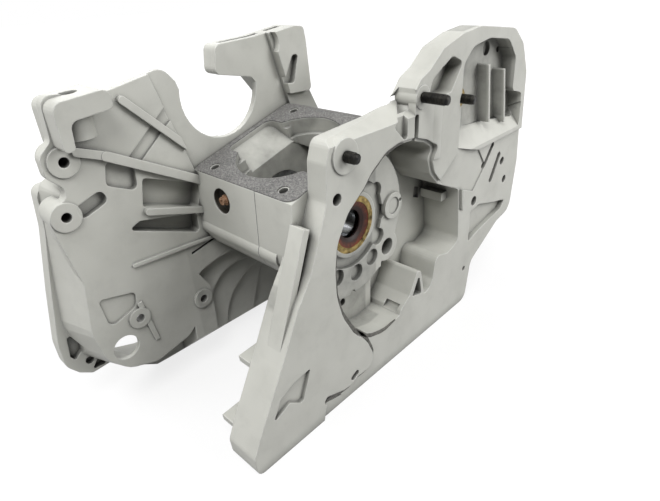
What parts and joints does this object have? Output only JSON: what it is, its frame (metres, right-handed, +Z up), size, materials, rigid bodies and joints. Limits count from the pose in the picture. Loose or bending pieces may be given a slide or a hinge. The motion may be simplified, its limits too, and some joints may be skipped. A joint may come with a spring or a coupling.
{
  "type": "chainsaw crankcase",
  "caption": "Chainsaw crankcase of two cast halves bolted together, with crank bearings, shaft seals, cylinder base gasket, cover studs and an impulse nipple.",
  "frame": {"origin": "crank axis, on the cylinder's centre plane", "axes": "+X along the crank towards the sprocket side, +Y towards the saw's front, +Z up"},
  "size_m": [0.143, 0.3244, 0.207],
  "materials": {
    "painted_casting": "painted satin, light warm grey, over a magnesium die casting",
    "bearing_steel": "ground and oiled",
    "zinc_steel": "zinc plated",
    "black_steel": "black oxide, with a rolled thread",
    "brass": "turned",
    "yellow_zinc": "yellow passivated zinc",
    "seal_rubber": "moulded, matte, red-brown",
    "gasket_fibre": "speckled fibre sheet"
  },
  "bodies": {
    "case": {"fan_side_half": "painted_casting", "sprocket_side_half": "painted_casting", "crankcase_gasket": "gasket_fibre", "cylinder_base_gasket": "gasket_fibre", "dowel_sleeves": "zinc_steel", "case_screws": "zinc_steel", "fan_outer_race": "bearing_steel", "sprocket_outer_race": "bearing_steel", "fan_seal_case": "yellow_zinc", "fan_seal_lip": "seal_rubber", "fan_seal_spring": "bearing_steel", "sprocket_seal_case": "yellow_zinc", "sprocket_seal_lip": "seal_rubber", "sprocket_seal_spring": "bearing_steel", "impulse_nipple": "brass", "front_cover_stud": "black_steel", "rear_cover_stud": "black_steel", "pivot_stud": "black_steel", "pivot_collar": "yellow_zinc"},
    "fan_race": {"fan_inner_race": "bearing_steel"},
    "fan_ball_set": {"fan_balls": "bearing_steel", "fan_cage": "brass"},
    "sprocket_race": {"sprocket_inner_race": "bearing_steel"},
    "sprocket_ball_set": {"sprocket_balls": "bearing_steel", "sprocket_cage": "brass"}
  },
  "joints": [
    {"name": "fan_race_spin", "type": "hinge", "parent": "case", "child": "fan_race", "pos_m": [-0.0265, 0, 0], "axis": [1, 0, 0], "continuous": true},
    {"name": "fan_ball_set_spin", "type": "hinge", "parent": "case", "child": "fan_ball_set", "pos_m": [-0.0265, 0, 0], "axis": [1, 0, 0], "continuous": true},
    {"name": "sprocket_race_spin", "type": "hinge", "parent": "case", "child": "sprocket_race", "pos_m": [0.0265, 0, 0], "axis": [1, 0, 0], "continuous": true},
    {"name": "sprocket_ball_set_spin", "type": "hinge", "parent": "case", "child": "sprocket_ball_set", "pos_m": [0.0265, 0, 0], "axis": [1, 0, 0], "continuous": true}
  ],
  "couplings": [
    {"joint": "fan_ball_set_spin", "follows": "fan_race_spin", "ratio": 0.3825},
    {"joint": "sprocket_ball_set_spin", "follows": "sprocket_race_spin", "ratio": 0.3825}
  ]
}
